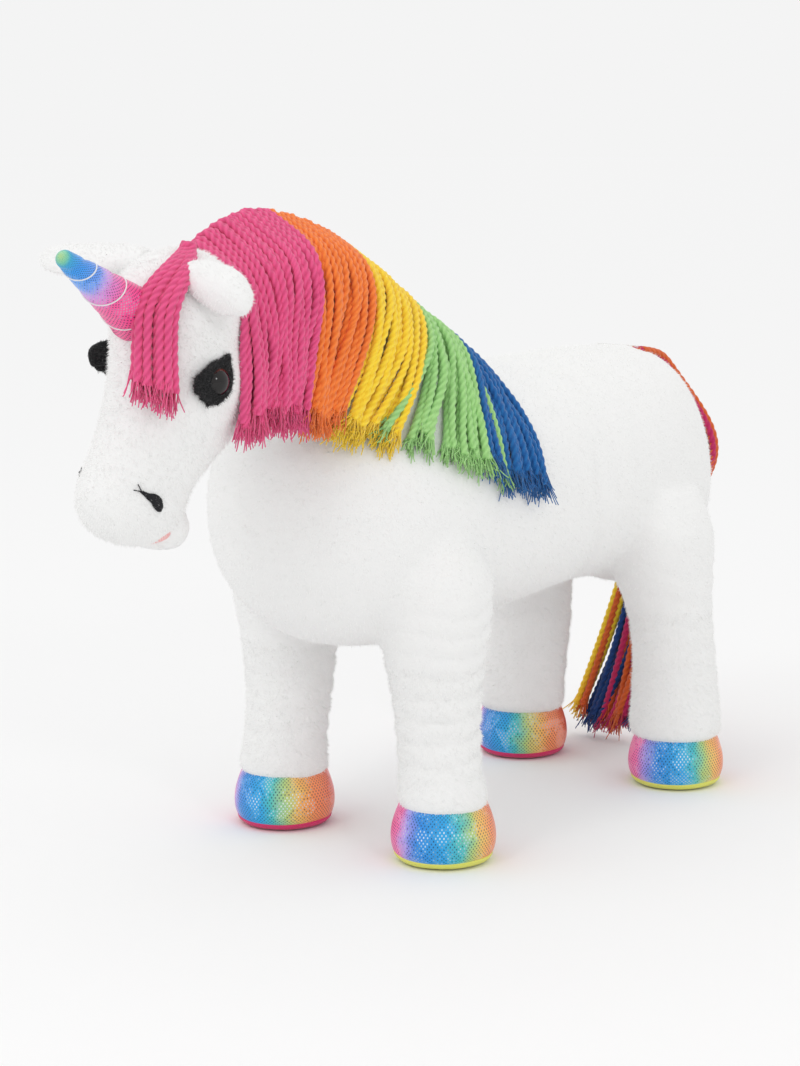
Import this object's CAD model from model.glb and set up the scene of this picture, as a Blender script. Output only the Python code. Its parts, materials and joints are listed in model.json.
import json
import math
import bpy
import numpy as np
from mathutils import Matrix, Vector
from mathutils.bvhtree import BVHTree


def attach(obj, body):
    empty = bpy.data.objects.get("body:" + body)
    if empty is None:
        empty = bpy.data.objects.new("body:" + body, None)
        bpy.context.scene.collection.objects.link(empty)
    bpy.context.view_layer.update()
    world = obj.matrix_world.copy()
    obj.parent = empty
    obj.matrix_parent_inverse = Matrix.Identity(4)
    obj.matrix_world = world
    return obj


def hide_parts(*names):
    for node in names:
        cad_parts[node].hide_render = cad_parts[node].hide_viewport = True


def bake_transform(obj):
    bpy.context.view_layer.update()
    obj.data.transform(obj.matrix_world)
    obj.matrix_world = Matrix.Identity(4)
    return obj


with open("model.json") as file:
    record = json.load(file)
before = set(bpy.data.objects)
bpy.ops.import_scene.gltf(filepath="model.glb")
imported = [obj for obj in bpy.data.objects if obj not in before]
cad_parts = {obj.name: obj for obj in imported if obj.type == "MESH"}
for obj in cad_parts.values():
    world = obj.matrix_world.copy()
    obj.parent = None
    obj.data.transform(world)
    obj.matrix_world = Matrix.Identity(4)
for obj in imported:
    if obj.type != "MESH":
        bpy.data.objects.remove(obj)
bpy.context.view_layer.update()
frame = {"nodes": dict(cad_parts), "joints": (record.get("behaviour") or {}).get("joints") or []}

joints = {joint["name"]: joint for joint in frame["joints"]}
mm = 0.001
print("frame loaded")


# Small helpers for rows, grids and meshes

# A smooth curve through every row (Catmull-Rom), with steps points from row to row
def smoothRows(rows, steps):
    rows = np.asarray(rows, float)
    ends = np.vstack([2 * rows[:1] - rows[1:2], rows, 2 * rows[-1:] - rows[-2:-1]])
    at = np.linspace(0, len(rows) - 1, (len(rows) - 1) * steps + 1)
    i = np.minimum(at.astype(int), len(rows) - 2)
    w = (at - i)[:, None]
    a, b, c, d = ends[i], ends[i + 1], ends[i + 2], ends[i + 3]
    return 0.5 * (2 * b + (c - a) * w + (2 * a - 5 * b + 4 * c - d) * w**2
                  + (3 * b - a - 3 * c + d) * w**3)


def unit(v):
    return v / np.maximum(np.linalg.norm(v, axis=-1, keepdims=True), 1e-12)


def mix(a, b, t):
    return a + (b - a) * t


# 0 below low, 1 above high, smooth between
def ramp(x, low, high):
    t = np.clip((x - low) / (high - low), 0, 1)
    return t * t * (3 - 2 * t)


# Rings along a path: each ring is its centre plus half widths times the cosine and sine of the angle
def ringGrid(centres, sides, fores, halfWidths, halfDepths, count, power=2.0):
    a = np.linspace(0, 2 * np.pi, count, endpoint=False)
    c, s = np.cos(a), np.sin(a)
    c, s = np.sign(c) * abs(c) ** (2 / power), np.sign(s) * abs(s) ** (2 / power)
    across = halfWidths[:, None, None] * c[None, :, None] * sides[:, None, :]
    along = halfDepths[:, None, None] * s[None, :, None] * fores[:, None, :]
    return centres[:, None, :] + across + along


# Rings that lie level, one above the other
def levelRings(centres, halfWidths, halfDepths, count, power=2.0):
    sides, fores = (np.tile(way, (len(centres), 1)) for way in ([1.0, 0, 0], [0, 1.0, 0]))
    return ringGrid(centres, sides, fores, halfWidths, halfDepths, count, power)


def meshObject(name, points, faces, paint=None, uv=None, smooth=True):
    data = bpy.data.meshes.new(name)
    data.from_pydata(points.tolist(), [], [f for block in faces for f in block.tolist()])
    if uv is not None:
        layer = data.uv_layers.new(name="cloth")
        flat = np.concatenate([u.reshape(-1, 2) for u in uv]).ravel()
        layer.data.foreach_set("uv", flat.astype(np.float32))
    data.polygons.foreach_set("use_smooth", np.full(len(data.polygons), smooth))
    data.update()
    obj = bpy.data.objects.new(name, data)
    bpy.context.collection.objects.link(obj)
    if paint:
        data.materials.append(paint)
    return obj


# A grid of m rings of n points becomes quads, and a fan to a middle point closes each end
def tubeParts(grid, capStart=True, capEnd=True):
    m, n = grid.shape[:2]
    i, j = np.meshgrid(np.arange(m - 1), np.arange(n), indexing="ij")
    k = (j + 1) % n
    quads = np.stack([i * n + j, i * n + k, (i + 1) * n + k, (i + 1) * n + j], -1).reshape(-1, 4)
    around = [j / n, (j + 1) / n, (j + 1) / n, j / n]
    along = [i / (m - 1), i / (m - 1), (i + 1) / (m - 1), (i + 1) / (m - 1)]
    uv = [np.stack([np.stack(around, -1), np.stack(along, -1)], -1).reshape(-1, 4, 2)]
    points, faces = [grid.reshape(-1, 3)], [quads]
    ring = np.arange(n)
    count = m * n
    for wanted, row, turn, v in ((capStart, 0, 1, 0.0), (capEnd, m - 1, 0, 1.0)):
        if not wanted:
            continue
        points.append(grid[row].mean(0)[None])
        a, b = ring + row * n, (ring + 1) % n + row * n
        tip = np.full(n, count)
        faces.append(np.stack([b, a, tip] if turn else [a, b, tip], -1))
        flat = np.stack([ring / n, (ring + 1) / n, (ring + 0.5) / n], -1)
        uv.append(np.stack([flat, np.full_like(flat, v)], -1))
        count += 1
    return np.vstack(points), faces, uv


def tubeObject(name, grid, paint, caps=(True, True)):
    points, faces, uv = tubeParts(grid, *caps)
    return meshObject(name, points, faces, paint, uv)


# Joins several sets of points and faces into one piece
def joinedObject(name, parts, paint=None):
    points, faces, uv, base = [], [], [], 0
    for p, f, u in parts:
        points.append(p)
        faces += [block + base for block in f]
        uv += u
        base += len(p)
    return meshObject(name, np.vstack(points), faces, paint, uv)


# One vector per vertex: its place or its normal
def vertexVectors(obj, normals=False):
    block, field = (obj.data.vertex_normals, "vector") if normals else (obj.data.vertices, "co")
    flat = np.empty(len(block) * 3, np.float32)
    block.foreach_get(field, flat)
    return flat.reshape(-1, 3).astype(float)


def withModifiers(obj, steps):
    for kind, settings in steps:
        m = obj.modifiers.new(kind.lower(), kind)
        for key, value in settings.items():
            setattr(m, key, value)
    view = bpy.context.evaluated_depsgraph_get()
    view.update()
    data = bpy.data.meshes.new_from_object(obj.evaluated_get(view))
    obj.modifiers.clear()
    obj.data = data
    return obj


# Materials

# One socket of a shader; sums and products of shader values add Math nodes
class Wire:
    def __init__(self, paint, socket):
        self.paint, self.socket = paint, socket

    def math(self, operation, a, b=0.0):
        return self.paint.add("Math", {"operation": operation}, [a, b])

    def __add__(self, other):
        return self.math("ADD", self, other)

    def __sub__(self, other):
        return self.math("SUBTRACT", self, other)

    def __rsub__(self, other):
        return self.math("SUBTRACT", other, self)

    def __mul__(self, other):
        return self.math("MULTIPLY", self, other)

    __radd__, __rmul__ = __add__, __mul__


class Paint:
    def __init__(self, name):
        self.material = bpy.data.materials.new(name)
        self.material.use_nodes = True
        self.nodes = self.material.node_tree.nodes
        self.links = self.material.node_tree.links
        self.shader = self.nodes["Principled BSDF"]

    # Adds one node: its settings first, then values or links for its sockets, by name or by place
    def add(self, kind, settings=None, inputs=None, out=0):
        node = self.nodes.new("ShaderNode" + kind)
        for key, value in (settings or {}).items():
            if key == "stops":
                while len(node.color_ramp.elements) < len(value):
                    node.color_ramp.elements.new(0.5)
                for element, (place, colour) in zip(node.color_ramp.elements, value):
                    element.position = place
                    element.color = (*colour, 1)
            else:
                setattr(node, key, value)
        named = inputs.items() if isinstance(inputs, dict) else enumerate(inputs or [])
        for key, value in named:
            self.plug(node.inputs[key], value)
        return Wire(self, node.outputs[out])

    def plug(self, socket, value):
        if isinstance(value, Wire):
            self.links.new(value.socket, socket)
        else:
            socket.default_value = value

    def finish(self, **sockets):
        for name, value in sockets.items():
            self.plug(self.shader.inputs[name.replace("_", " ")], value)
        return self.material

    def blendColour(self, factor, a, b):
        return self.add("Mix", {"data_type": "RGBA"}, {0: factor, 6: a, 7: b}, out=2)

    def noise(self, where, scale, detail=2.0, out=0):
        return self.add("TexNoise", {}, {"Vector": where, "Scale": scale, "Detail": detail}, out)

    def bump(self, height, strength, distance):
        return self.add("Bump", {}, {"Strength": strength, "Distance": distance, "Height": height})

    def place(self):
        return self.add("TexCoord", {}, {}, out=3)

    def cloth(self):
        return self.add("TexCoord", {}, {}, out=2)

    # The map's two directions, across and along
    def clothAxes(self):
        split = self.add("SeparateXYZ", {}, [self.cloth()]).socket.node
        return Wire(self, split.outputs[0]), Wire(self, split.outputs[1])


def rgb(r, g, b):
    return (r, g, b, 1.0)


# Short white pile: faint mottling from slow noise, fine fibre bump from fast noise, and sheen
def plushPaint(name, colour, shade):
    p = Paint(name)
    where = p.place()
    mottle = p.noise(where, 60.0, 3.0)
    fine = p.noise(where, 900.0, 2.0)
    tufts = p.noise(where, 252.0, 3.0)
    tone = p.blendColour(mottle * 0.5 + fine * 0.5, shade, colour)
    return p.finish(Base_Color=tone, Roughness=0.95, Sheen_Weight=0.15, Sheen_Roughness=0.5,
                    Specular_IOR_Level=0.15, Normal=p.bump(fine * 0.6 + tufts, 0.55, 0.0006))


# Twisted cotton: fibres follow the ply, so noise is stretched along the cord's own map
def cordPaint(name, dark, light):
    p = Paint(name)
    run = p.add("Mapping", {}, {"Vector": p.cloth(), "Scale": (26.0, 90.0, 1.0)})
    fibre = p.noise(run, 3.0, 3.0)
    patch = p.noise(p.place(), 55.0, 2.0)
    u = p.clothAxes()[0]
    ply = u.math("COSINE", u * 6.2832)  # 1 on the crown of each ply, -1 in the groove
    tone = p.blendColour(fibre * 0.5 + patch * 0.25 + ply * 0.22 + 0.27, dark, light)
    return p.finish(Base_Color=tone, Roughness=0.85, Sheen_Weight=0.25, Specular_IOR_Level=0.25,
                    Normal=p.bump(fibre, 0.5, 0.0003))


# Foil-dotted fabric: a rainbow along one direction of the map, with a diagonal grid of shiny dots
def foilPaint(name, stops, axis, dotsAround, dotsAlong):
    p = Paint(name)
    u, v = p.clothAxes()
    cloudy = p.noise(p.place(), 90.0, 2.0)
    rainbow = p.add("ValToRGB", {"stops": stops}, [(u if axis == "u" else v) + (cloudy - 0.5) * 0.06])
    a = u * dotsAround + v * dotsAlong
    b = u * dotsAround - v * dotsAlong
    fa = a.math("FRACT", a) - 0.5
    fb = b.math("FRACT", b) - 0.5
    away = fa * fa + fb * fb
    dot = p.add("MapRange", {"interpolation_type": "SMOOTHSTEP"},
                {"Value": away, "From Min": 0.085, "From Max": 0.04, "To Min": 0.0, "To Max": 1.0})
    cell = p.add("CombineXYZ", {}, [a.math("FLOOR", a), b.math("FLOOR", b), 0.0])
    luck = p.add("TexWhiteNoise", {"noise_dimensions": "3D"}, {"Vector": cell})
    patch = p.noise(p.place(), 75.0, 1.0)
    glint = p.add("ValToRGB", {"stops": [(0.0, (0.01, 0.03, 0.06)), (0.50, (0.02, 0.06, 0.11)),
                                         (0.57, (0.55, 0.78, 0.92)), (0.7, (1.0, 1.0, 1.0))]},
                  [luck * 0.16 + patch * 0.84])
    colour = p.blendColour(dot * 0.74, rainbow, glint)
    weave = p.noise(p.place(), 1500.0, 1.0)
    return p.finish(Base_Color=colour, Metallic=dot * 0.35, Roughness=0.42 - dot * 0.2, Coat_Weight=0.25,
                    Coat_Roughness=0.25, Normal=p.bump(dot * 0.5 + weave * 0.3, 0.4, 0.0003))


# Felt or short knit: one colour broken up by fine noise
def feltPaint(name, dark, light, scale=1400.0, sheen=0.2):
    p = Paint(name)
    fine = p.noise(p.place(), scale, 3.0)
    return p.finish(Base_Color=p.blendColour(fine, dark, light), Roughness=0.95, Sheen_Weight=sheen,
                    Specular_IOR_Level=0.2, Normal=p.bump(fine, 0.7, 0.0005))


# Glossy eye: rings of colour by distance from the pupil's middle, held in the map's v
def eyePaint():
    p = Paint("glossyEye")
    v = p.clothAxes()[1]
    streaks = p.noise(p.add("Mapping", {}, {"Vector": p.cloth(), "Scale": (60.0, 2.0, 1.0)}), 3.0, 2.0)
    rings = p.add("ValToRGB", {"stops": [(0.0, (0.004, 0.003, 0.003)), (0.44, (0.006, 0.003, 0.003)),
                                         (0.50, (0.20, 0.025, 0.015)), (0.76, (0.40, 0.06, 0.035)),
                                         (0.86, (0.03, 0.008, 0.006)), (1.0, (0.01, 0.005, 0.005))]},
                  [v + (streaks - 0.5) * 0.05])
    return p.finish(Base_Color=rings, Roughness=0.05, Specular_IOR_Level=0.45)


# Plain parts inside: drawn steel with fine lines, filling, tape and moulded washers
def plainPaint(name, dark, light, roughness, metallic=0.0, scale=700.0):
    p = Paint(name)
    fine = p.noise(p.place(), scale, 3.0)
    return p.finish(Base_Color=p.blendColour(fine, dark, light), Roughness=roughness, Metallic=metallic,
                    Normal=p.bump(fine, 0.3, 0.0003))


# The pile's own fibres: plain, because their shape is real
def tuftPaint(name, colour, sheen=0.3):
    p = Paint(name)
    return p.finish(Base_Color=colour, Roughness=0.9, Sheen_Weight=sheen, Specular_IOR_Level=0.15)


white = plushPaint("whitePlush", rgb(0.885, 0.885, 0.875), rgb(0.83, 0.83, 0.825))
whiteTuft = tuftPaint("whitePile", rgb(0.90, 0.90, 0.892), 0.15)
blackTuft = tuftPaint("blackPile", rgb(0.012, 0.012, 0.013))
cordColours = {
    "pink": (rgb(0.50, 0.03, 0.12), rgb(0.90, 0.115, 0.30)),
    "orange": (rgb(0.70, 0.10, 0.01), rgb(1.0, 0.27, 0.05)),
    "yellow": (rgb(0.85, 0.50, 0.01), rgb(1.0, 0.74, 0.05)),
    "green": (rgb(0.20, 0.46, 0.13), rgb(0.42, 0.74, 0.28)),
    "blue": (rgb(0.004, 0.05, 0.22), rgb(0.015, 0.16, 0.45)),
    "crimson": (rgb(0.36, 0.01, 0.07), rgb(0.60, 0.03, 0.14)),
    "rust": (rgb(0.52, 0.07, 0.01), rgb(0.76, 0.15, 0.03)),
    "navy": (rgb(0.002, 0.02, 0.11), rgb(0.008, 0.06, 0.24)),
}
cords = {name: cordPaint(name + "Cord", *pair) for name, pair in cordColours.items()}
print("materials ready")


# The head's own frame: turned to its left and tipped

headFrame = {"yaw": 12.0, "roll": 9.0, "baseY": -0.066, "rollZ": 0.36}


# Head points are given as (across to its left, forward, height)
def headPlace(points):
    x, s, z = np.moveaxis(np.asarray(points, float), -1, 0)
    yaw, roll = math.radians(headFrame["yaw"]), math.radians(headFrame["roll"])
    up = z - headFrame["rollZ"]
    x, z = (x * math.cos(roll) + up * math.sin(roll),
            -x * math.sin(roll) + up * math.cos(roll) + headFrame["rollZ"])
    return np.stack([x * math.cos(yaw) + s * math.sin(yaw),
                     headFrame["baseY"] - s * math.cos(yaw) + x * math.sin(yaw), z], -1)


def headTurn(directions):
    return headPlace(directions) - headPlace(np.zeros(3))


# The white body as one smooth surface, then cut at the joints

bodyShape = {
    # place along the body, height, half width, half height
    "torso": [(-118, 222, 14, 18), (-112, 221, 40, 44), (-98, 218, 60, 64), (-68, 215, 78, 80),
              (-22, 214.5, 85, 85), (34, 217, 84, 83), (104, 219, 81, 80.5), (170, 223, 81, 77.5),
              (216, 221, 80, 80), (248, 216, 75, 85), (262, 213, 70, 81), (276, 208, 62, 66),
              (291, 205, 45, 48), (300, 204, 18, 24)],
    # centre x, y, z, forward lean, half depth, half width
    "neck": [(0, 6, 236, 17.5, 92, 72), (0, -15, 264, 17.5, 97.5, 71), (0, -33, 285, 24, 84, 62),
             (1, -53, 306, 33, 70, 54), (4, -79, 327, 43, 61, 47), (9, -107, 344, 52, 53, 42),
             (14, -132, 352, 63, 44, 38), (19, -156, 350, 78, 36, 34), (24, -180, 344, 90, 30, 28)],
    # height, shift across, distance forward, half depth, half width
    "head": [(384, 0, 143, 6, 7), (380, 0, 144, 20, 18), (371, 0, 145, 33, 27), (356, 2, 147, 42, 34),
             (336, 5, 148, 43, 34), (313, 9, 146, 48, 36), (290, 8, 148.5, 48.5, 33.5),
             (268, 5.5, 160, 42, 29.5), (252, 3, 169, 38, 27.5), (239, 3, 171, 34.5, 27),
             (228, 3, 171, 27, 22.5), (221, 4, 171, 14, 14), (218.5, 4, 171, 5, 6)],
    # height, shift across and along, radius
    "frontLeg": [(33.5, 0, 0, 26.5), (35, 0, 0, 28.8), (40, 0, -1, 28.6), (60, -2, -1, 27),
                 (90, -4, -1, 27.5), (120, -5, -2, 30.5), (150, -6, -3, 36), (180, -10, -5, 40),
                 (205, -14, -5, 33)],
    "hindLeg": [(33.5, 0, 0, 26.5), (35, 0, 0, 29.6), (40, 0, -1, 31), (60, 0, -1, 30), (90, 0, -3.5, 28),
                (120, -1, -8, 28.5), (150, -4, -13, 34.5), (180, -8, -18, 40), (210, -14, -22, 36)],
    "voxel": 0.0024, "smoothing": 16, "across": 72, "legAcross": 48,
}
hips = {name: np.array(joints[f"leg_{name}_swing"]["pos_m"]) for name in
        ("front_left", "front_right", "hind_left", "hind_right")}
# By leg: how much wider and how much further back it stands
legSway = {"front_left": (0, 0), "front_right": (0, 2.5), "hind_left": (0, 0), "hind_right": (3, 14)}


def torsoGrid():
    rows = smoothRows(bodyShape["torso"], 6) * mm
    y, z, w, h = rows.T
    n = len(rows)
    centres = np.stack([np.zeros(n), y, z], -1)
    return ringGrid(centres, np.tile([-1.0, 0, 0], (n, 1)), np.tile([0, 0, 1.0], (n, 1)), w, h,
                    bodyShape["across"], 2.15)


def neckGrid():
    rows = smoothRows(bodyShape["neck"], 5)
    x, y, z, lean, depth, width = rows.T
    lean = np.radians(lean)
    yaw = np.radians(headFrame["yaw"]) * np.linspace(0, 1, len(rows))
    sides = np.stack([np.cos(yaw), np.sin(yaw), 0 * yaw], -1)
    fores = np.stack([np.sin(yaw) * np.cos(lean), -np.cos(yaw) * np.cos(lean), -np.sin(lean)], -1)
    centres = np.stack([x, y, z], -1) * mm
    return ringGrid(centres, -sides, fores, width * mm, depth * mm, bodyShape["across"])


def headGrid():
    rows = smoothRows(bodyShape["head"], 5) * mm
    z, x, s, depth, width = rows.T
    return headPlace(levelRings(np.stack([x, s, z], -1), width, depth, bodyShape["across"], 2.1))


def legGrid(name):
    rows = smoothRows(bodyShape["frontLeg" if name.startswith("front") else "hindLeg"], 5)
    z, dx, dy, r = rows.T
    side = np.sign(hips[name][0])
    bend = ramp(z, 40, 110)
    x, y = hips[name][0] + side * dx * mm, hips[name][1] + (dy + legSway[name][1] * bend) * mm
    centres = np.stack([x, y, z * mm], -1)
    r = (r + legSway[name][0] * bend) * mm
    return levelRings(centres, r, r, bodyShape["legAcross"])


# Slow, smooth noise made of a few sine waves in turned directions
def waves(points, size, seed, count=5):
    luck = np.random.default_rng(seed)
    total = np.zeros(len(points))
    for _ in range(count):
        direction = unit(luck.normal(size=3))
        total += np.sin(points @ direction / size * luck.uniform(0.7, 1.5) + luck.uniform(0, 6.3))
    return total / count


relief = {
    "swell": 0.0013, "ripple": 0.0006, "foldPitch": {"front": 0.0135, "hind": 0.017},
    "foldDepth": {"front_left": 0.0036, "front_right": 0.0022, "hind_left": 0.0016, "hind_right": 0.0016},
}


# Folds and seams pushed in or out along the surface's own direction
def bodyRelief(points, normals):
    x, y, z = points.T
    push = relief["swell"] * waves(points, 0.024, 3) + relief["ripple"] * waves(points, 0.009, 4)
    for name, hip in hips.items():
        near = np.exp(-(((x - hip[0]) ** 2 + (y - hip[1]) ** 2) / 0.045**2) ** 2)
        band = ramp(z, 0.045, 0.06) * (1 - ramp(z, 0.15, 0.185))
        back = 0.45 + 0.55 * ramp(normals[:, 1], -0.3, 0.7)
        bent = z + 0.004 * np.sin((y - hip[1]) / 0.014 + hip[0] * 40) + 0.003 * waves(points, 0.02, 5)
        fold = 1 - np.abs(np.sin(bent * np.pi / relief["foldPitch"][name.split("_")[0]])) ** 0.6
        push -= relief["foldDepth"][name] * near * band * back * fold
    seam = lambda distance, width, depth: -depth * np.exp(-(distance / width) ** 2)
    torsoPart = ramp(y, -0.2, -0.05)
    push += seam(x, 0.0022, 0.0010) * ramp(z, 0.24, 0.26) * ramp(y, 0.06, 0.1)
    thigh = np.hypot((y - 0.228) / 0.108, (z - 0.225) / 0.115) - 1
    push += seam(thigh * 0.1, 0.0045, 0.0022) * ramp(z, 0.262, 0.225) * ramp(y, 0.175, 0.145) \
        * ramp(np.abs(x), 0.03, 0.05) * ramp(0.29 - z, 0, 0.03) * torsoPart * (1 - ramp(y, 0.2, 0.24))
    shoulder = np.hypot((y - hips["front_left"][1] - 0.004) / 0.075, (z - 0.16) / 0.10) - 1
    push += seam(shoulder * 0.08, 0.0022, 0.0007) * ramp(np.abs(x), 0.03, 0.05) * ramp(y, -0.03, 0.0)
    return push


def buildBody():
    parts = [tubeParts(g) for g in [torsoGrid(), neckGrid(), headGrid()] + [legGrid(n) for n in hips]]
    body = joinedObject("bodyBlank", parts)
    body = withModifiers(body, [("REMESH", {"mode": "VOXEL", "voxel_size": bodyShape["voxel"]}),
                                ("SMOOTH", {"factor": 0.5, "iterations": bodyShape["smoothing"]})])
    points, normals = vertexVectors(body), vertexVectors(body, normals=True)
    points = points + normals * bodyRelief(points, normals)[:, None]
    body.data.vertices.foreach_set("co", points.astype(np.float32).ravel())
    body.data.update()
    return body


body = buildBody()
print("body surface:", len(body.data.polygons), "faces")
bodyTree = BVHTree.FromObject(body, bpy.context.evaluated_depsgraph_get())

turnJoint = joints["neck_turn"]
turnAt, turnAxis = np.array(turnJoint["pos_m"]), unit(np.array(turnJoint["axis"], float))
cuts = {"leg": 0.126, "neck": 0.062, "chest": -0.1245}


# Which piece a point belongs to: 0 torso, 1 head, then the four legs
def regionOf(points):
    region = np.zeros(len(points), int)
    region[((points - turnAt) @ turnAxis > cuts["neck"]) | (points[:, 1] < cuts["chest"])] = 1
    low = (points[:, 2] < cuts["leg"]) & (points[:, 1] > -0.09)
    for k, hip in enumerate(hips.values()):
        near = np.hypot(points[:, 0] - hip[0], points[:, 1] - hip[1]) < 0.062
        region[low & near] = 2 + k
    return region


# Cuts the body's faces into pieces; each cut is closed by a fan to a point inside, which no eye sees
def splitBody(names):
    points, normals = vertexVectors(body), vertexVectors(body, normals=True)
    count = len(body.data.polygons)
    sizes = np.empty(count, np.int32)
    starts = np.empty(count, np.int32)
    body.data.polygons.foreach_get("loop_total", sizes)
    body.data.polygons.foreach_get("loop_start", starts)
    loops = np.empty(len(body.data.loops), np.int32)
    body.data.loops.foreach_get("vertex_index", loops)
    quads = loops[starts[sizes == 4][:, None] + np.arange(4)]
    region = regionOf(points[quads].mean(1))
    pieces, inset = {}, 0.004
    for k, name in enumerate(names):
        own = quads[region == k]
        a, b = own, np.roll(own, -1, axis=1)
        total = len(points)
        forward, backward = (a * total + b).ravel(), (b * total + a).ravel()
        edge = ~np.isin(forward, backward)
        rim = np.stack([b.ravel()[edge], a.ravel()[edge]], -1)
        middle = points[rim].mean(1)
        if k == 0:
            side = regionOf(middle - [0, 0, inset])
            side[((middle - turnAt) @ turnAxis > 0.045) & (middle[:, 2] > 0.2)] = 1
        else:
            side = np.zeros(len(rim), int)
        tips, fans = [], []
        for label in np.unique(side):
            chosen = rim[side == label]
            inward = np.array([0, 0, inset if k == 0 else -inset])
            if label == 1 or k == 1:
                inward = -inset * turnAxis
            tips.append(points[chosen].reshape(-1, 3).mean(0) + inward)
            fans.append(np.column_stack([chosen, np.full(len(chosen), total + len(tips) - 1)]))
        every = np.vstack([points, np.array(tips)])
        flat = np.concatenate([own.ravel()] + [f.ravel() for f in fans])
        used, packed = np.unique(flat, return_inverse=True)
        faces = [packed[:own.size].reshape(-1, 4), packed[own.size:].reshape(-1, 3)]
        pieces[name] = meshObject(name, every[used], faces, white)
        # Every piece keeps the whole body's own normals, so no line shows where two pieces meet
        own = np.vstack([normals, np.tile([0, 0, 1.0], (len(tips), 1))])[used]
        pieces[name].data.normals_split_custom_set_from_vertices(own.tolist())
    return pieces


legPieces = {name: name.replace("_", " ").title().replace(" ", "") + "LegSkin" for name in hips}
skins = splitBody(["bodySkin", "headSkin"] + list(legPieces.values()))
bodySkin, headSkin = skins["bodySkin"], skins["headSkin"]
body.hide_render = True
bpy.data.objects.remove(body)
print("skins:", {name: len(o.data.polygons) for name, o in skins.items()})

bends = {
    "neck": (turnAt - turnAxis * 0.045, turnAt + turnAxis * 0.055),
    "nod": (np.array([0.012, -0.136, 0.350]), np.array([0.028, -0.204, 0.343])),
}


def bendNeck(piece):
    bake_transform(piece)


def bendNod(piece):
    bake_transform(piece)


def bendLeg(piece):
    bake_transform(piece)


# Short pile: thousands of thin closed tufts

tuft = {"length": 0.0024, "width": 0.00018, "brush": (0.0, 0.3, -1.0), "lean": 0.9, "scatter": 0.45,
        "sink": 0.0003}


# A tuft is a narrow pyramid on the surface that leans the way the pile is brushed
def pile(name, skin, perSquareCm, seed, length=tuft["length"], paint=whiteTuft, brush=tuft["brush"]):
    areas = np.empty(len(skin.data.polygons), np.float32)
    skin.data.polygons.foreach_get("area", areas)
    count = int(areas.sum() * 1e4 * perSquareCm)
    luck = np.random.default_rng(seed)
    skin.data.calc_loop_triangles()
    corners = np.empty(len(skin.data.loop_triangles) * 3, np.int32)
    skin.data.loop_triangles.foreach_get("vertices", corners)
    tri = vertexVectors(skin)[corners.reshape(-1, 3)]
    cross = np.cross(tri[:, 1] - tri[:, 0], tri[:, 2] - tri[:, 0])
    area = np.linalg.norm(cross, axis=1) / 2
    chosen = luck.choice(len(tri), count, p=area / area.sum())
    u, v = luck.random((2, count))
    flip = u + v > 1
    u, v = np.where(flip, 1 - u, u), np.where(flip, 1 - v, v)
    t = tri[chosen]
    root = t[:, 0] + (t[:, 1] - t[:, 0]) * u[:, None] + (t[:, 2] - t[:, 0]) * v[:, None]
    normal = unit(cross[chosen])
    down = np.asarray(brush, float) - normal * (normal @ np.asarray(brush, float))[:, None]
    tilt = unit(down) * tuft["lean"] + luck.normal(size=(count, 3)) * tuft["scatter"]
    reach = unit(normal + tilt * 0.8) * (length * luck.uniform(0.6, 1.2, count))[:, None]
    side = unit(np.cross(reach, luck.normal(size=(count, 3))))
    other = unit(np.cross(reach, side))
    r = tuft["width"] * luck.uniform(0.7, 1.2, count)[:, None]
    root = root - normal * tuft["sink"]
    spin = [side * r, (-0.5 * side + 0.87 * other) * r, (-0.5 * side - 0.87 * other) * r]
    verts = np.stack([root + spin[0], root + spin[1], root + spin[2], root + reach], 1).reshape(-1, 3)
    base = np.arange(count)[:, None, None] * 4
    faces = (base + np.array([[0, 1, 3], [1, 2, 3], [2, 0, 3], [0, 2, 1]])[None]).reshape(-1, 3)
    tufts = meshObject(name, verts, [faces], paint, smooth=False)
    return tufts


# Hooves: a dotted foil cover over a fabric sole

hoofShape = {
    # radius and height up the side, from the sole's seam to the top edge
    "foil": [(30.6, 5.2), (31.6, 7.0), (32.6, 11), (32.9, 16), (32.2, 22), (30.6, 28), (28.8, 33),
             (27.4, 36.5), (26.0, 37.5)],
    "sole": [(0.3, 0.3), (14, 0.3), (23, 0.4), (27.3, 1.2), (29.8, 3.0), (30.9, 5.0), (30.4, 6.2)],
    # the angle, in degrees round the hoof, where the rainbow starts
    "start": {"front_left": 205.0, "hind_left": 205.0, "front_right": 177.0, "hind_right": 177.0},
}
foilStops = [(0.0, (0.90, 0.10, 0.33)), (0.12, (0.90, 0.14, 0.42)), (0.165, (0.36, 0.28, 0.78)),
             (0.205, (0.01, 0.23, 0.72)), (0.30, (0.005, 0.36, 0.74)), (0.345, (0.06, 0.50, 0.48)),
             (0.385, (0.42, 0.60, 0.20)), (0.425, (0.85, 0.50, 0.12)), (0.48, (0.90, 0.28, 0.09)),
             (0.60, (0.88, 0.14, 0.08)), (0.78, (0.90, 0.09, 0.25)), (1.0, (0.90, 0.10, 0.33))]
hoofFoil = foilPaint("hoofFoil", foilStops, "u", 80.0, 14.0)
soles = {"left": feltPaint("limeSole", rgb(0.70, 0.72, 0.10), rgb(0.86, 0.84, 0.22)),
         "right": feltPaint("crimsonSole", rgb(0.55, 0.02, 0.10), rgb(0.80, 0.05, 0.20))}


# Radius and height pairs turned round an upright line; the angle also sways the seam up and down
def turned(rows, centre, start, steps, count, sway, growth):
    path = smoothRows(rows, steps) * mm
    a = np.radians(start) + np.linspace(0, 2 * np.pi, count)
    r, z = path[:, :1], path[:, 1:]
    wave = sway * np.sin(a * 2 + 0.6)[None] * (1 - z / 0.04)
    r = r * (1 + growth(a)[None])
    return np.stack([centre[0] + r * np.cos(a)[None], centre[1] + r * np.sin(a)[None],
                     z + wave + 0 * a[None]], -1)


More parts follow.
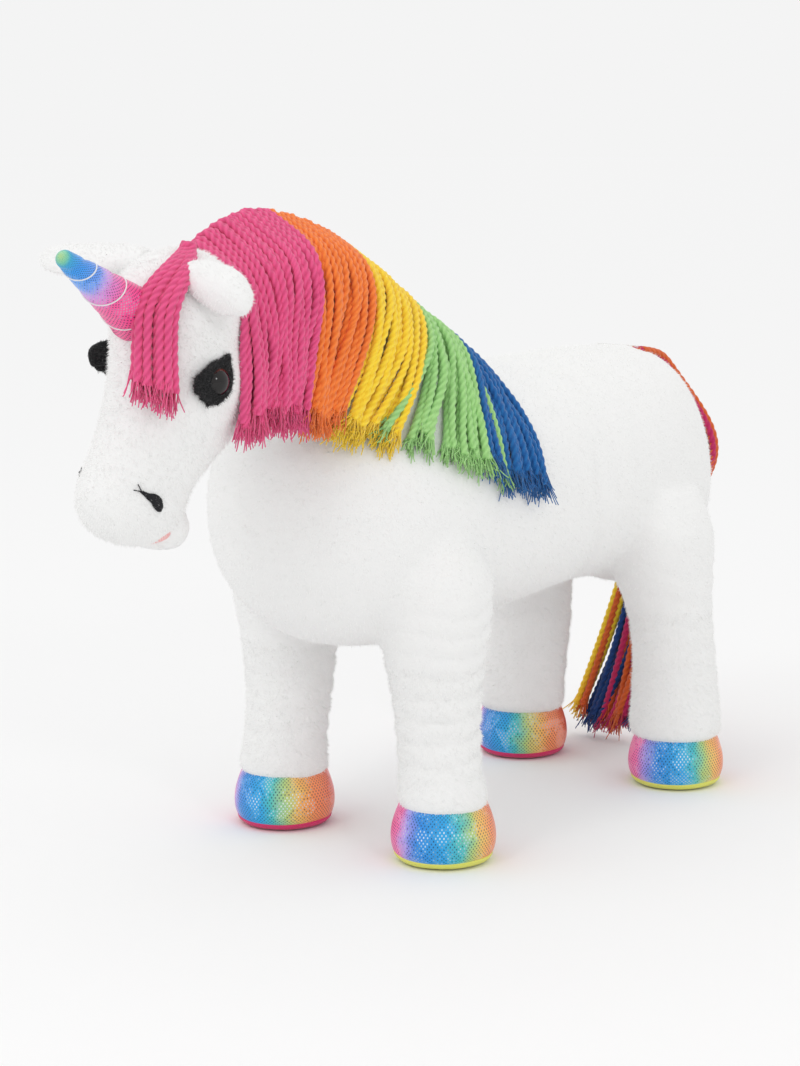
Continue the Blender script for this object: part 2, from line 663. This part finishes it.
def buildHoof(name):
    hip = hips[name]
    puff = lambda a: 0.008 * np.sin(3 * a + hip[1] * 50) + 0.005 * np.sin(7 * a)
    start = hoofShape["start"][name]
    foil = turned(hoofShape["foil"], hip, start, 6, 129, 0.0006, puff)[:, :-1]
    foil = foil - (np.array([0, 0, 1.0]) * 0.0005) * ramp(foil[..., 2:], 0.03, 0.04)
    cover = tubeObject(name + "HoofFoil", foil, hoofFoil, caps=(False, False))
    withModifiers(cover, [("SOLIDIFY", {"thickness": 0.001, "offset": -1})])
    side = "left" if name.endswith("left") else "right"
    sole = turned(hoofShape["sole"], hip, start, 4, 97, 0.0, puff)[:, :-1]
    soleObj = tubeObject(name + "HoofSole", sole, soles[side])
    cloth = "lime_sole" if side == "left" else "crimson_sole"
    for piece, node, material in ((cover, "_hoof", "dotted_foil"), (soleObj, "_sole", cloth)):
        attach(piece, "leg_" + name)
        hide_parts(name + node)


for name in hips:
    buildHoof(name)
print("hooves done")


# Horn: stuffed foil cone with thread wound round it

horn = {"base": (0.186, 0.350), "pitch": 25.5, "length": 0.080, "radius": 0.0155, "tip": 0.0050,
        "turns": 3.0}
hornStops = [(0.0, (0.88, 0.06, 0.26)), (0.42, (0.90, 0.09, 0.34)), (0.54, (0.60, 0.26, 0.72)),
             (0.62, (0.12, 0.30, 0.86)), (0.78, (0.01, 0.30, 0.84)), (0.88, (0.02, 0.40, 0.68)),
             (0.93, (0.18, 0.60, 0.40)), (1.0, (0.42, 0.70, 0.28))]
hornFoil = foilPaint("hornFoil", hornStops, "v", 32.0, 40.0)
whiteThread = plainPaint("whiteThread", rgb(0.75, 0.75, 0.75), rgb(0.92, 0.92, 0.92), 0.5, scale=2500.0)


# A point on the horn from its distance along the horn and the angle round it
def hornPoint(along, angle, lift=0.0):
    pitch = math.radians(horn["pitch"])
    fore = np.array([0, math.cos(pitch), math.sin(pitch)])
    up = np.array([0, -math.sin(pitch), math.cos(pitch)])
    end = horn["length"] - horn["tip"]
    u = np.clip(along / end, -0.3, 1)
    swell = 0.0005 * np.sin(np.clip(u, 0, 1) * 3.1)
    # The thread presses a groove into the cover
    groove = np.cos((angle / (2 * np.pi) + along / horn["length"] * horn["turns"]) * np.pi)
    r = mix(horn["radius"], horn["tip"], np.maximum(u, 0) ** 0.8) + swell
    r = r - 0.0007 * np.exp(-(groove / 0.25) ** 2)
    over = np.clip(along - end, 0, horn["tip"])
    r = np.where(along > end, np.sqrt(np.maximum(horn["tip"] ** 2 - over ** 2, 1e-10)), r) + lift
    local = np.array([0, *horn["base"]]) + along[..., None] * fore \
        + (r * np.cos(angle))[..., None] * np.array([1.0, 0, 0]) + (r * np.sin(angle))[..., None] * up
    return headPlace(local)


rounded = horn["length"] - horn["tip"] + horn["tip"] * np.sin(np.linspace(0.05, 1.53, 12))
along = np.concatenate([np.linspace(-0.012, 0.0742, 60), rounded])
angle = np.linspace(0, 2 * np.pi, 64, endpoint=False)
hornObj = tubeObject("hornCover", hornPoint(*np.meshgrid(along, angle, indexing="ij")), hornFoil)
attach(hornObj, "head")
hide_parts("horn_cover", "horn_stuffing")


# A round tube along a path of points, built on frames that keep close to one fixed direction
def tubeAlong(path, radius, sides, keepTo=(0, 1, 0)):
    tangent = unit(np.gradient(path, axis=0))
    side = unit(np.cross(tangent, np.asarray(keepTo, float)))
    other = np.cross(tangent, side)
    r = np.broadcast_to(np.asarray(radius, float), len(path))
    return ringGrid(path, side, other, r, r, sides)


turns = np.linspace(0.10, 0.93, 260)
wound = hornPoint(turns * horn["length"], -turns * horn["turns"] * 2 * np.pi + 1.1, 0.0002)
hornThread = tubeObject("hornThread", tubeAlong(wound, 0.00042, 6, (0.3, -1, 0.4)), whiteThread)
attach(hornThread, "head")
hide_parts("horn_thread")
print("horn done")


# Face: eyes, lash patches, nostrils, mouth and lower lip

face = {"eye": (0.0315, 0.1575, 0.3172), "middle": 0.006, "eyeRadius": 0.0095, "patchThickness": 0.0016,
        "flap": {1: 0.004, -1: 0.013},
        # angle round the eye, from forward going up, and the patch's reach there in millimetres
        "patch": [(0, 19), (12, 19), (25, 16), (45, 13.5), (90, 12), (112, 15), (122, 18), (136, 13),
                  (150, 12), (180, 10), (240, 9), (270, 10.5), (296, 12), (306, 14.5), (316, 12.5),
                  (330, 16), (338, 15), (348, 19), (360, 19)]}
eyeGloss = eyePaint()
blackFelt = feltPaint("blackFelt", rgb(0.006, 0.006, 0.007), rgb(0.02, 0.02, 0.022))
headTree = BVHTree.FromObject(headSkin, bpy.context.evaluated_depsgraph_get())


# Moves points along a direction onto the head's surface; points that miss it stay
def ontoHead(points, direction, back=0.03):
    out = points.copy()
    normals = np.tile(-np.asarray(direction, float), (len(points), 1))
    for k, p in enumerate(points):
        hit, normal, _, _ = headTree.ray_cast(Vector(p - direction * back), Vector(direction), back * 3)
        if hit is not None:
            out[k], normals[k] = hit, normal
    return out, normals


def buildEye(side):
    x, s, z = face["eye"]
    centre = headPlace(np.array([face["middle"] + side * x, s, z]))
    axis = unit(headTurn(np.array([side * 1.0, 0.30, -0.02])))
    up = unit(headTurn(np.array([0, 0, 1.0])) - axis * (headTurn(np.array([0, 0, 1.0])) @ axis))
    fore = np.cross(up, axis) * (1 if side > 0 else -1)
    fore = fore if fore @ headTurn(np.array([0, 1.0, 0])) > 0 else -fore
    r = face["eyeRadius"]
    polar = np.linspace(0.03, math.radians(112), 26)
    a = np.linspace(0, 2 * np.pi, 56, endpoint=False)
    ball = centre + r * (np.cos(polar)[:, None, None] * axis + np.sin(polar)[:, None, None] *
                         (np.cos(a)[None, :, None] * fore + np.sin(a)[None, :, None] * up))
    if np.cross(fore, up) @ axis < 0:
        ball = ball[:, ::-1]
    eye = tubeObject("eyeLeft" if side > 0 else "eyeRight", ball, eyeGloss)
    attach(eye, "head")
    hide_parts("eye_left" if side > 0 else "eye_right")
    # The felt patch lies on the cheek round the eye: rings from the eye's edge out to its cut edge
    angles = np.linspace(0, 360, 120, endpoint=False)
    reach = np.interp(angles, *np.array(face["patch"]).T) * mm
    # The patch's forward upper part stands off the cheek like a lash
    flap = face["flap"][side] * np.maximum(np.cos(np.radians(angles - 15)), 0) ** 1.5
    reach = reach * (1 if side > 0 else 0.8)
    rings = []
    for share in (0.45, 0.62, 0.78, 0.92, 1.0):
        flat = centre + (reach * share * np.cos(np.radians(angles)))[:, None] * fore \
            + (reach * share * np.sin(np.radians(angles)))[:, None] * up
        on, normal = ontoHead(flat, -axis)
        on = on + (flap * max(share - 0.5, 0) ** 1.2 * 2)[:, None] * axis
        rings.append((on, normal))
    top = [on + normal * face["patchThickness"] for on, normal in rings]
    sheet = np.stack(top + [rings[-1][0] - rings[-1][1] * 0.0004]
                     + [on - normal * 0.0004 for on, normal in rings[-2::-1]])
    if side < 0:
        sheet = sheet[:, ::-1]
    return tubeParts(sheet)


lash = joinedObject("lashPatches", [buildEye(side) for side in (1, -1)], blackFelt)
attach(lash, "head")
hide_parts("lash_patches")


# Close satin stitches across a tapering, bent stroke on each side of the nose
def buildNostrils():
    parts = []
    blackThread = feltPaint("blackThread", rgb(0.004, 0.004, 0.005), rgb(0.03, 0.03, 0.034), 2600.0, 0.1)
    for side in (1, -1):
        stroke = smoothRows([(side * 25.5, 187, 244.5), (side * 25.6, 188.5, 248),
                             (side * 24.2, 191, 251.5), (side * 21.5, 194, 253.5),
                             (side * 18.5, 197, 256)], 7) * mm + [side * 0.009, 0, 0]
        stroke = headPlace(stroke)
        on, normal = ontoHead(stroke, unit(headTurn(np.array([-side * 0.75, -0.65, 0.05]))))
        t = np.linspace(0, 1, len(on))
        half = np.interp(t, [0, 0.12, 0.35, 0.6, 0.85, 1], [1.4, 2.9, 3.3, 2.3, 1.0, 0.5]) * mm
        along = unit(np.gradient(on, axis=0))
        across = unit(np.cross(normal, along))
        wide = np.linspace(-1, 1, 9)
        for k in range(len(on)):
            rise = (1 - wide ** 2)[:, None] * 0.0009 + 0.0003
            thread = on[k] + across[k] * (wide * half[k])[:, None] + normal[k] * rise
            thread = thread + along[k] * (wide * 0.0006)[:, None]
            parts.append(tubeParts(tubeAlong(thread, 0.00045, 6, along[k])))
        for turn in (-0.5, 0.35):
            way = unit(along[-1] + across[-1] * turn)
            loose = on[-1] + way * np.linspace(0, 0.005, 6)[:, None] + normal[-1] * 0.0005
            parts.append(tubeParts(tubeAlong(loose, 0.0003, 5, normal[-1])))
    return joinedObject("nostrilStitches", parts, blackThread)


nostrils = buildNostrils()
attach(nostrils, "head")
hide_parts("nostril_embroidery")


# Level rings in the head's own frame: rows of across, forward, height, half width and half depth
def headPad(name, rows, steps, paint):
    x, s, z, width, depth = (smoothRows(rows, steps) * mm).T
    return tubeObject(name, headPlace(levelRings(np.stack([x, s, z], -1), width, depth, 48)), paint)


# The lip is a soft rounded pad under the muzzle, and the mouth's pink lining shows above its edge
lip = headPad("lowerLip", [(5, 150, 214.5, 2, 2), (7, 150, 215.5, 9, 9), (7, 151, 218.5, 16, 14),
                           (7, 152, 224, 20, 17), (7, 153, 231, 21, 18), (7, 154, 240, 17, 15)], 6, white)
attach(lip, "head")
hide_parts("lower_lip")
pinkLining = feltPaint("pinkLining", rgb(0.80, 0.36, 0.36), rgb(0.92, 0.52, 0.50))
mouth = headPad("mouthLining", [(4, 166, 219.5, 3, 3), (4, 165.5, 220.5, 11, 9), (4, 165, 223, 17, 14),
                                (4, 164, 227, 21, 16), (4, 163, 233, 21.5, 14)], 5, pinkLining)
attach(mouth, "head")
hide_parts("mouth_lining")
print("face done")


# Ears: folded plush leaves that lie out to the sides

earShape = {
    # distance along the ear, half width, half thickness, droop, and backward sweep
    "rows": [(-6, 9, 6, 0, 0), (2, 12, 7.5, 0.5, 0), (12, 15.5, 7.5, 0, 0), (24, 17.5, 6.5, -2, 0.5),
             (34, 16.5, 6, -5, 1), (42, 12.5, 5.4, -9, 1.5), (47, 8, 4, -12, 2), (50, 1.5, 1, -14, 2)],
    # by side: root, stretch along, slope down, share of the droop, how far the leaf's width turns upright
    "root": {1: (20, 166, 373), -1: (-28.5, 148, 372)}, "stretch": {1: 0.80, -1: 1.30},
    "tilt": {1: 2, -1: 6},
    "hang": {1: 0.55, -1: 0.15}, "upright": {1: 58, -1: 12}, "width": {1: 0.76, -1: 1.0},
}


def buildEar(side):
    along, wide, thick, drop, sweep = (smoothRows(earShape["rows"], 6) * mm).T
    n = len(along)
    along, wide = along * earShape["stretch"][side], wide * earShape["width"][side]
    tilt, upright = math.radians(earShape["tilt"][side]), math.radians(earShape["upright"][side])
    height = drop * earShape["hang"][side] - along * math.sin(tilt)
    centres = np.stack([along * math.cos(tilt), -sweep, height], -1)
    across = np.array([0, math.cos(upright), -math.sin(upright)])
    facing = unit(np.array([math.sin(tilt), math.sin(upright), math.cos(upright)]))
    grid = ringGrid(centres, np.tile(across, (n, 1)), np.tile(facing, (n, 1)), wide, thick, 40)
    # The leaf is cupped: its edges bend back from its middle
    a = np.linspace(0, 2 * np.pi, 40, endpoint=False)
    cup = (0.28 * wide[:, None] * np.cos(a)[None] ** 2) * ramp(along, 0, 0.03)[:, None]
    grid -= cup[..., None] * facing
    grid[..., 0] *= side
    if side > 0:
        grid = grid[:, ::-1]
    leaf = headPlace(grid + np.array(earShape["root"][side]) * mm)
    ear = tubeObject("earLeft" if side > 0 else "earRight", leaf, white)
    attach(ear, "ear_left" if side > 0 else "ear_right")
    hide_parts("ear_left" if side > 0 else "ear_right")
    return ear


ears = [buildEar(side) for side in (1, -1)]
print("ears done")


# Cords: three plies twisted together, with a frayed end

cord = {"radius": 0.0027, "step": 0.0011, "pitch": 0.0165, "lobe": 0.135, "sides": 15, "fray": 0.0135,
        "strands": 18, "strand": 0.00052, "spread": 0.30}
crestLine = [(91, 0, 296), (43, 0, 325), (6, 0, 354), (-48, 1, 387), (-112, 6, 404), (-148, 11, 401),
             (-172, 17, 393), (-186, 20, 384)]
# Each colour: roots from and to along the crest, ends from and to as (x, y, z), how many cords
maneColours = {
    "pink": (-184, -112, (60, -190, 273), (75, -134, 274), 36),
    "orange": (-112, -48, (76, -134, 272), (80, -106, 266), 21),
    "yellow": (-48, 6, (80, -108, 266), (86, -68, 256), 19),
    "green": (4, 30, (86, -70, 258), (90, 8, 230), 20),
    "blue": (30, 47, (90, 2, 232), (90, 50, 216), 16),
}


# The path resampled at equal steps, with a short moving average first
def evenPath(points, step, soften):
    for _ in range(soften):
        inner = 0.25 * points[:-2] + 0.5 * points[1:-1] + 0.25 * points[2:]
        points = np.vstack([points[:1], inner, points[-1:]])
    length = np.concatenate([[0], np.cumsum(np.linalg.norm(np.diff(points, axis=0), axis=1))])
    at = np.linspace(0, length[-1], max(int(length[-1] / step), 8))
    return np.stack([np.interp(at, length, points[:, k]) for k in range(3)], -1)


# A cord is a taut string over the body: from its root it goes to the side's outermost point,
# goes on to the next such point, and hangs straight down from the widest one
def drape(root, end, axis, offset, bow=1.0, swell=0.0, cling=0.0):
    other = 1 - axis
    z = np.concatenate([np.linspace(root[2], root[2] - 0.03, 30)[:-1],
                        np.linspace(root[2] - 0.03, end[2], 60)])
    share = (root[2] - z) / (root[2] - end[2])
    bulge = swell * np.sin(np.pi * np.minimum(share / 0.5, 1)) ** 2
    side = mix(root[other], end[other], share ** bow) + bulge
    direction = Vector((-1, 0, 0) if axis == 0 else (0, -1, 0))
    out = np.full(len(z), float(root[axis]) - 0.01)
    for k in range(1, len(z)):
        start = [0.0, 0.0, z[k]]
        start[axis], start[other] = (0.25 if axis == 0 else 0.45), side[k]
        hit = bodyTree.ray_cast(Vector(start), direction)[0]
        if hit is not None and hit[axis] > root[axis] - 0.01:
            out[k] = hit[axis] + offset
    out[0] = root[axis]
    corners, k = [0], 0
    widest = int(np.argmax(out))
    while k < widest:
        slope = (out[k + 1:widest + 1] - out[k]) / (z[k] - z[k + 1:widest + 1])
        k += 1 + int(np.argmax(slope))
        corners.append(k)
    string = np.interp(-z[:widest + 1], -z[corners], out[corners])
    string = mix(string, out[:widest + 1], cling)  # a clinging cord follows the hollows too
    out = np.concatenate([string, np.full(len(out) - widest - 1, out[widest])])
    path = np.zeros((len(z), 3))
    path[:, axis], path[:, other], path[:, 2] = out, side, z
    for _ in range(2):
        path = evenPath(path, 0.002, 8)
    return evenPath(path, cord["step"], 2)


# The cord's section has three lobes, which turn as they go along: the plies
def cordParts(path, luck, keepTo):
    n = len(path)
    tangent = unit(np.gradient(path, axis=0))
    side = unit(np.cross(tangent, np.asarray(keepTo, float)))
    other = np.cross(tangent, side)
    a = np.linspace(0, 2 * np.pi, cord["sides"], endpoint=False)
    run = np.arange(n) * cord["step"]
    twist = run / cord["pitch"] * 2 * np.pi + luck.uniform(0, 6.3)
    ends = 1 + 0.15 * ramp(run, run[-1] - 0.008, run[-1])
    plies = 1 - cord["lobe"] + cord["lobe"] * np.cos(3 * (a[None] - twist[:, None]))
    r = cord["radius"] * luck.uniform(0.92, 1.06) * plies * ends[:, None]
    circle = np.cos(a)[None, :, None] * side[:, None] + np.sin(a)[None, :, None] * other[:, None]
    grid = path[:, None] + r[..., None] * circle
    points, faces, uv = tubeParts(grid)
    # The map turns with the plies, so the fibres run along them
    for block in uv:
        rows = block[..., 1] * (n - 1)
        block[..., 0] = block[..., 0] * 3 - np.interp(rows, np.arange(n), twist) / (2 * np.pi) * 3
        block[..., 1] = rows * cord["step"] / cord["pitch"]
    return points, faces, uv


# Loose strands at a cord's end: each leaves in its own direction and wanders a little
def frayParts(tips, ways, luck):
    count, steps = cord["strands"], 7
    total = len(tips) * count
    tips, ways = np.repeat(tips, count, 0), unit(np.repeat(ways, count, 0))
    offset = luck.normal(size=(total, 3))
    offset = unit(offset - ways * (offset * ways).sum(1, keepdims=True))
    share = np.sqrt(luck.random(total))[:, None]
    t = np.linspace(0, 1, steps)[None, :, None]
    lean = offset * share * cord["spread"] + luck.normal(size=(total, 3)) * 0.10
    reach = (cord["fray"] * luck.uniform(0.65, 1.15, total))[:, None, None]
    wander = np.sin(t * luck.uniform(2, 7, (total, 1, 1)) + luck.uniform(0, 6, (total, 1, 1)))
    wander = wander * luck.normal(size=(total, 1, 3)) * 0.0011
    start = tips[:, None] + offset[:, None] * share[:, None] * cord["radius"] * 0.95 - ways[:, None] * 0.005
    path = start + (ways[:, None] * t + lean[:, None] * t ** 1.6) * reach + wander * t
    path[..., 2] -= 0.002 * t[..., 0] ** 2
    tangent = unit(np.gradient(path, axis=1))
    side = unit(np.cross(tangent, [0.37, 0.85, 0.36]))
    other = np.cross(tangent, side)
    a = np.linspace(0, 2 * np.pi, 3, endpoint=False)
    r = cord["strand"] * (1 - 0.3 * t)[..., None]
    circle = np.cos(a)[:, None] * side[:, :, None] + np.sin(a)[:, None] * other[:, :, None]
    rings = path[:, :, None] + r * circle
    points = rings.reshape(-1, 3)
    base = np.arange(total)[:, None, None] * steps * 3
    i, j = np.meshgrid(np.arange(steps - 1), np.arange(3), indexing="ij")
    k = (j + 1) % 3
    quad = np.stack([i * 3 + j, i * 3 + k, (i + 1) * 3 + k, (i + 1) * 3 + j], -1).reshape(1, -1, 4)
    caps = np.array([[[2, 1, 0], [steps * 3 - 3, steps * 3 - 2, steps * 3 - 1]]])
    quads, tris = (base + quad).reshape(-1, 4), (base + caps).reshape(-1, 3)
    spot = luck.random((total, 1, 1)) * 5
    uvq = (spot[:, None] + np.zeros((total, quad.shape[1], 4, 2))).reshape(-1, 4, 2)
    uvt = (spot[:, None] + np.zeros((total, 2, 3, 2))).reshape(-1, 3, 2)
    # Whole numbers across make the strands as light as a ply's crown
    uvq[..., 0], uvt[..., 0] = np.round(uvq[..., 0]), np.round(uvt[..., 0])
    return points, [quads, tris], [uvq, uvt]


def crestPoint(y):
    rows = smoothRows(crestLine, 8)[::-1]
    return np.array([np.interp(y, rows[:, 0], rows[:, 1]), y, np.interp(y, rows[:, 0], rows[:, 2])]) * mm


def cordBundle(name, paths, paint, luck, keepTo):
    parts = [cordParts(path, luck, keepTo) for path in paths]
    tips = np.array([path[-1] for path in paths])
    ways = np.array([path[-1] - path[-5] for path in paths])
    parts.append(frayParts(tips, ways, luck))
    return joinedObject(name, parts, paint)


def buildMane(colour):
    low, high, first, last, count = maneColours[colour]
    luck = np.random.default_rng(sum(map(ord, colour)))
    paths = []
    for k in range(count):
        t = (k + 0.5 + luck.uniform(-0.3, 0.3)) / count
        layer = k % 2
        root = crestPoint(mix(low, high, t))
        root[2] -= cord["radius"] + (0.0045 if layer == 0 else luck.uniform(0, 0.002))
        root[0] -= 0.006 + luck.uniform(-0.001, 0.001)
        slip = luck.uniform(-0.16, 0.16)
        end = mix(np.array(first, float), np.array(last, float), np.clip(t + slip, -0.03, 1.03)) * mm
        end[2] += luck.uniform(-0.004, 0.004) + cord["fray"] + 0.001 + 0.002 * layer
        top = root + [0.005, 0, 0.0015]
        thin = 0.6 * t if colour == "blue" else 0.0  # the pile of cords thins out at the withers
        offset = cord["radius"] * (1.0 if layer == 0 else 2.5 - 2 * thin)
        offset = offset + luck.uniform(0, 0.002) * (1 - thin)
        cling = {"green": 0.4, "blue": 0.4 + 0.5 * t}.get(colour, 0)
        path = drape(top, end, 0, offset, {"pink": 1.5}.get(colour, 1.0), cling=cling)
        path = evenPath(np.vstack([root - [0.003, 0, 0.006], root, path]), cord["step"], 6)
        s = np.linspace(0, 1, len(path))
        path[:, 1] += 0.0034 * np.sin(s * luck.uniform(3, 9) + luck.uniform(0, 6)) * ramp(s, 0.1, 0.6)
        ripple = np.abs(np.sin(s * luck.uniform(4, 11) + luck.uniform(0, 6)))
        path[:, 0] += 0.0010 * ripple * ramp(s, 0.2, 0.6)
        paths.append(path)
    bundle = cordBundle("maneCords" + colour.title(), paths, cords[colour], luck, (0, 1, 0))
    (bendNod if colour == "pink" else bendNeck)(bundle)
    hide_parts("mane_" + colour)
    lengths = [np.linalg.norm(np.diff(p, axis=0), axis=1).sum() + cord["fray"] for p in paths]
    print(f"mane {colour}: {count} cords, {min(lengths):.3f} to {max(lengths):.3f} m long")


for colour in maneColours:
    buildMane(colour)


# The forelock follows the head's level rings down the forehead
def buildForelock():
    rows = smoothRows(bodyShape["head"], 8)[::-1]
    luck = np.random.default_rng(5)
    paths = []
    for k in range(9):
        t = (k + 0.5) / 9
        s = np.linspace(0, 1, 60)
        z = mix(388, mix(313, 318, t), s ** 1.35)
        angle = np.radians(mix(mix(34, 66, t), mix(50, 84, t), ramp(s, 0, 0.6)) + luck.uniform(-2.5, 2.5))
        across, centre = np.interp(z, rows[:, 0], rows[:, 1]), np.interp(z, rows[:, 0], rows[:, 2])
        lift = 2.8 + (2.6 if k % 2 else 0) + 5.0 * np.sin(np.minimum(s * 2.2, 1) * np.pi / 2) + 2 * s
        depth = np.maximum.accumulate(np.interp(z, rows[:, 0], rows[:, 3])) + lift
        width = np.maximum.accumulate(np.interp(z, rows[:, 0], rows[:, 4])) + lift
        local = np.stack([across + width * np.cos(angle), centre + depth * np.sin(angle), z], -1) * mm
        paths.append(evenPath(headPlace(local), cord["step"], 5))
    bundle = cordBundle("forelockCords", paths, cords["pink"], luck, (0, 1, 0))
    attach(bundle, "head")
    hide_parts("forelock")


buildForelock()

# Each colour of tail cord: (place across the top, x at the bottom, layer outward)
tailCords = {
    "pink": [(-5, -47, 0), (0, -36, 0), (4, -24, 0), (8, -30, 1), (-9, -52, 2), (11, -38, 3),
             (-2, -56, 3),
             (3, -44, 3), (12, -22, 2)],
    "orange": [(-12, -63, 0), (-7, -41, 1), (-2, -32, 0), (10, -27, 0), (12, -35, 2), (6, -44, 2),
               (13, -50, 3)],
    "yellow": [(-13, -69, 0), (-10, -65, 1)],
    "blue": [(-6, -57, 0), (-3, -52, 0), (5, -16, 0), (9, -13, 0), (2, -20, 1), (7, -48, 1),
             (-1, -60, 1)],
}
tailShades = {"pink": "crimson", "orange": "rust", "yellow": "yellow", "blue": "navy"}


def buildTail(colour):
    luck = np.random.default_rng(40 + len(colour))
    paths = []
    for across, foot, layer in tailCords[colour]:
        root = np.array([(across * 1.3 + 7) * mm, 0.243 + 0.001 * layer, 0.2965 + 0.0005 * layer])
        end = np.array([(foot + 1) * mm, 0.302, 0.006 + cord["fray"] + luck.uniform(-0.004, 0.006)])
        path = drape(root, end, 1, cord["radius"] * (1.0 + 1.1 * layer), 2.2, 0.025 + 0.0006 * across)
        s = np.linspace(0, 1, len(path))
        path[:, 0] += 0.002 * np.sin(s * luck.uniform(5, 9) + luck.uniform(0, 6)) * s
        sweep = 0.003 * np.sin(s * luck.uniform(3, 6)) * ramp(s, 0.3, 0.7)
        path[:, 1] += sweep - 0.005 * ramp(s, 0.4, 1.0)
        paths.append(path)
    bundle = cordBundle("tailCords" + colour.title(), paths, cords[tailShades[colour]], luck, (1, 0, 0))
    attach(bundle, "tail")
    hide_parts("tail_" + colour)


for colour in tailCords:
    buildTail(colour)
print("cords done")


# The plush skins bend with the joints and stand for the panels and their filling

bendNeck(bodySkin)
bendNod(headSkin)
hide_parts("side_panel_left", "side_panel_right", "belly_gusset", "body_stuffing",
            "neck_panel_left", "neck_panel_right", "neck_stuffing")
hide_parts("head_panel_left", "head_panel_right", "head_gusset", "head_stuffing")
for name in hips:
    piece = skins[legPieces[name]]
    bendLeg(piece)
    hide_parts(name + "_skin", name + "_stuffing")


# Tufts on each square centimetre
density = {"body": 18, "head": 54, "leg": 60, "ear": 60, "lip": 60, "lash": 300}
bendNeck(pile("bodyPile", bodySkin, density["body"], 3))
bendNod(pile("headPile", headSkin, density["head"], 4, 0.0026))
for k, name in enumerate(hips):
    bendLeg(pile(name + "Pile", skins[legPieces[name]], density["leg"], 5 + k))
for ear, bodyName in zip(ears, ("ear_left", "ear_right")):
    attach(pile(ear.name + "Pile", ear, density["ear"], 12), bodyName)
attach(pile("lowerLipPile", lip, density["lip"], 14, 0.0022), "head")
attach(pile("lashPile", lash, density["lash"], 15, 0.0022, blackTuft, (0.6, -0.2, 0.3)), "head")
print("pile done")


# Parts that keep their CAD shape

steel = plainPaint("drawnSteel", rgb(0.38, 0.39, 0.40), rgb(0.62, 0.63, 0.64), 0.35, 1.0)
tape = feltPaint("sewingTape", rgb(0.72, 0.72, 0.70), rgb(0.88, 0.88, 0.86))
moulded = plainPaint("mouldedPlastic", rgb(0.74, 0.74, 0.74), rgb(0.86, 0.86, 0.86), 0.45)
carried = {"body_frame": (steel, "frame_steel"), "neck_wire": (steel, "frame_steel"),
           "head_wire": (steel, "frame_steel"), "tail_tape": (tape, "sewing_tape"),
           "crest_tape": (tape, "sewing_tape"), "eye_washers": (moulded, "washer_plastic")}
for name in hips:
    carried[name + "_wire"] = (steel, "frame_steel")
for node, (paint, slotName) in carried.items():
    obj = frame["nodes"][node]
    obj.data.materials.clear()
    obj.data.materials.append(paint)


# Floor, light and camera

# Puts a lamp or a camera at its place, turned to its target
def aimed(name, data, place, target):
    obj = bpy.data.objects.new(name, data)
    obj.location = place
    obj.rotation_euler = (Vector(target) - Vector(place)).to_track_quat("-Z", "Y").to_euler()
    bpy.context.collection.objects.link(obj)
    return obj


def lightPanel(name, place, target, size, power):
    lamp = bpy.data.lights.new(name, "AREA")
    lamp.shape, lamp.size, lamp.energy = "DISK", size, power
    aimed(name, lamp, place, target)


# The floor runs out as far as the camera sees and shows the same white as the surroundings
floorPaint = Paint("paleFloor")
floorMaterial = floorPaint.finish(Base_Color=rgb(0.90, 0.90, 0.90), Roughness=1.0, Specular_IOR_Level=0.0)
turn = np.linspace(0, 2 * np.pi, 64, endpoint=False)
reach = np.array([0.001, 1.0, 6.0, 40.0, 95.0])[:, None]
disc = np.stack([reach * np.cos(turn), reach * np.sin(turn), 0 * reach * turn], -1)
floor = tubeObject("floor", disc[:, ::-1], floorMaterial, caps=(True, False))
lightPanel("keyLight", (0.2, -2.4, 2.2), (0, 0.05, 0.2), 0.8, 6)
lightPanel("eyeLight", (2.62, -0.93, 1.45), (0, -0.1, 0.25), 0.5, 5.5)
sun = bpy.data.lights.new("skyLight", "SUN")
sun.energy, sun.angle = 0.36, math.radians(70)
sunObject = bpy.data.objects.new("skyLight", sun)
sunObject.rotation_euler = (math.radians(22), math.radians(-12), 0)
bpy.context.collection.objects.link(sunObject)
world = bpy.data.worlds.new("studio")
world.use_nodes = True
world.node_tree.nodes["Background"].inputs[0].default_value = (1, 1, 1, 1)
world.node_tree.nodes["Background"].inputs[1].default_value = 0.905
bpy.context.scene.world = world
bpy.context.scene.view_settings.view_transform = "Standard"

camera = bpy.data.cameras.new("camera")
camera.lens, camera.sensor_fit, camera.sensor_height, camera.sensor_width = 85.1, "VERTICAL", 36.0, 27.0
camera.dof.use_dof = False
camera.clip_end = 50
bpy.context.scene.camera = aimed("camera", camera, (1.043, -1.188, 0.4455), (-0.095, 0.125, 0.171))
